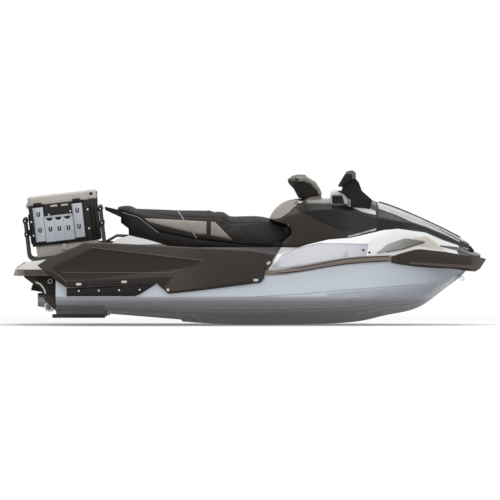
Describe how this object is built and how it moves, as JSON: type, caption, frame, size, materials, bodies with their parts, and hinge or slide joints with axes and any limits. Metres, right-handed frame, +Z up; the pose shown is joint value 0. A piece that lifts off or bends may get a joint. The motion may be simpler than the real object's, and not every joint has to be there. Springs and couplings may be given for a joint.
{
  "type": "personal watercraft",
  "caption": "Sit-down personal watercraft fitted for fishing: steering bar, jet nozzle, reverse bucket, opening hood, and a rear cooler with rod holders",
  "frame": {"origin": "on the centreline at the waterline, half way along the length", "axes": "+X to the bow, +Y to port, +Z up"},
  "size_m": [3.573, 1.195, 1.1662],
  "materials": {
    "hull_paint": "ice-silver gloss over a darker grey bottom",
    "deck_white": "white gloss moulding",
    "bumper": "dark brown-black, satin",
    "black_plastic": "black moulded plastic",
    "panel_dark": "dark charcoal, fine grain",
    "cowl_dark": "charcoal gloss",
    "silver_panel": "silver-grey gloss",
    "fin_grey": "greenish grey satin",
    "rail_grey": "warm grey rub strip",
    "seat_vinyl": "black marine vinyl with light grey inserts",
    "rubber_black": "ribbed black rubber",
    "steel": "brushed stainless",
    "cast_alloy": "cast alloy",
    "cooler_shell": "warm grey rotomoulded",
    "black_tube": "black powder coat",
    "caddy_silver": "silver-blue moulding"
  },
  "bodies": {
    "craft": {"hull": "hull_paint", "deck": "deck_white", "rear_platform": "deck_white", "transom_shroud": "black_plastic", "bow_bumper": "bumper", "bow_eye": "steel", "cowl": "cowl_dark", "hood_hinge": "steel", "storage_bin": "black_plastic", "instrument_pod": "black_plastic", "seat_base": "black_plastic", "seat_rear": "seat_vinyl", "seat_front": "seat_vinyl", "grab_handle": "black_plastic", "deck_arch": "black_tube", "engine": "cast_alloy", "pump_housing": "cast_alloy", "ride_plate": "black_plastic", "intake_grate": "cast_alloy", "cooler_body": "cooler_shell", "rack": "black_tube", "mats": "rubber_black", "rub_rail_left": "rail_grey", "rub_rail_right": "rail_grey", "side_panel_left": "panel_dark", "side_panel_right": "panel_dark", "sponson_left": "black_plastic", "sponson_right": "black_plastic", "cowl_side_left": "cowl_dark", "cowl_side_right": "cowl_dark", "fin_left": "fin_grey", "fin_right": "fin_grey", "speaker_left": "silver_panel", "speaker_right": "silver_panel", "mirror_left": "black_plastic", "mirror_right": "black_plastic", "caddy_left": "caddy_silver", "caddy_right": "caddy_silver"},
    "steering": {"steering_cover": "black_plastic", "handlebar": "steel", "grips": "rubber_black"},
    "hood": {"hood": "black_plastic", "hood_panel": "silver_panel"},
    "impeller": {"impeller": "steel"},
    "trim_ring": {"trim_ring": "cast_alloy"},
    "nozzle": {"steering_nozzle": "cast_alloy"},
    "bucket": {"reverse_bucket": "black_plastic"},
    "lid": {"cooler_lid": "cooler_shell"}
  },
  "joints": [
    {"name": "steer", "type": "hinge", "parent": "craft", "child": "steering", "pos_m": [0.465, 0, 0.625], "axis": [-0.1736, 0, 0.9848], "range_deg": [-22, 22]},
    {"name": "nozzle_trim", "type": "hinge", "parent": "craft", "child": "trim_ring", "pos_m": [-1.465, 0, -0.115], "axis": [0, 1, 0], "range_deg": [-8, 8]},
    {"name": "nozzle_steer", "type": "hinge", "parent": "trim_ring", "child": "nozzle", "pos_m": [-1.465, 0, -0.115], "axis": [0, 0, 1], "range_deg": [-20, 20]},
    {"name": "bucket_swing", "type": "hinge", "parent": "craft", "child": "bucket", "pos_m": [-1.49, 0, -0.07], "axis": [0, -1, 0], "range_deg": [0, 50]},
    {"name": "impeller_spin", "type": "hinge", "parent": "craft", "child": "impeller", "pos_m": [-1.17, 0, -0.115], "axis": [1, 0, 0], "continuous": true},
    {"name": "hood_hinge_turn", "type": "hinge", "parent": "craft", "child": "hood", "pos_m": [1.664, 0, 0.285], "axis": [0, 1, 0], "range_deg": [0, 50]},
    {"name": "lid_hinge", "type": "hinge", "parent": "craft", "child": "lid", "pos_m": [-1.68963, 0, 0.5923], "axis": [0, -1, 0], "range_deg": [0, 95]}
  ],
  "couplings": [
    {"joint": "nozzle_steer", "follows": "steer", "ratio": -0.9}
  ]
}
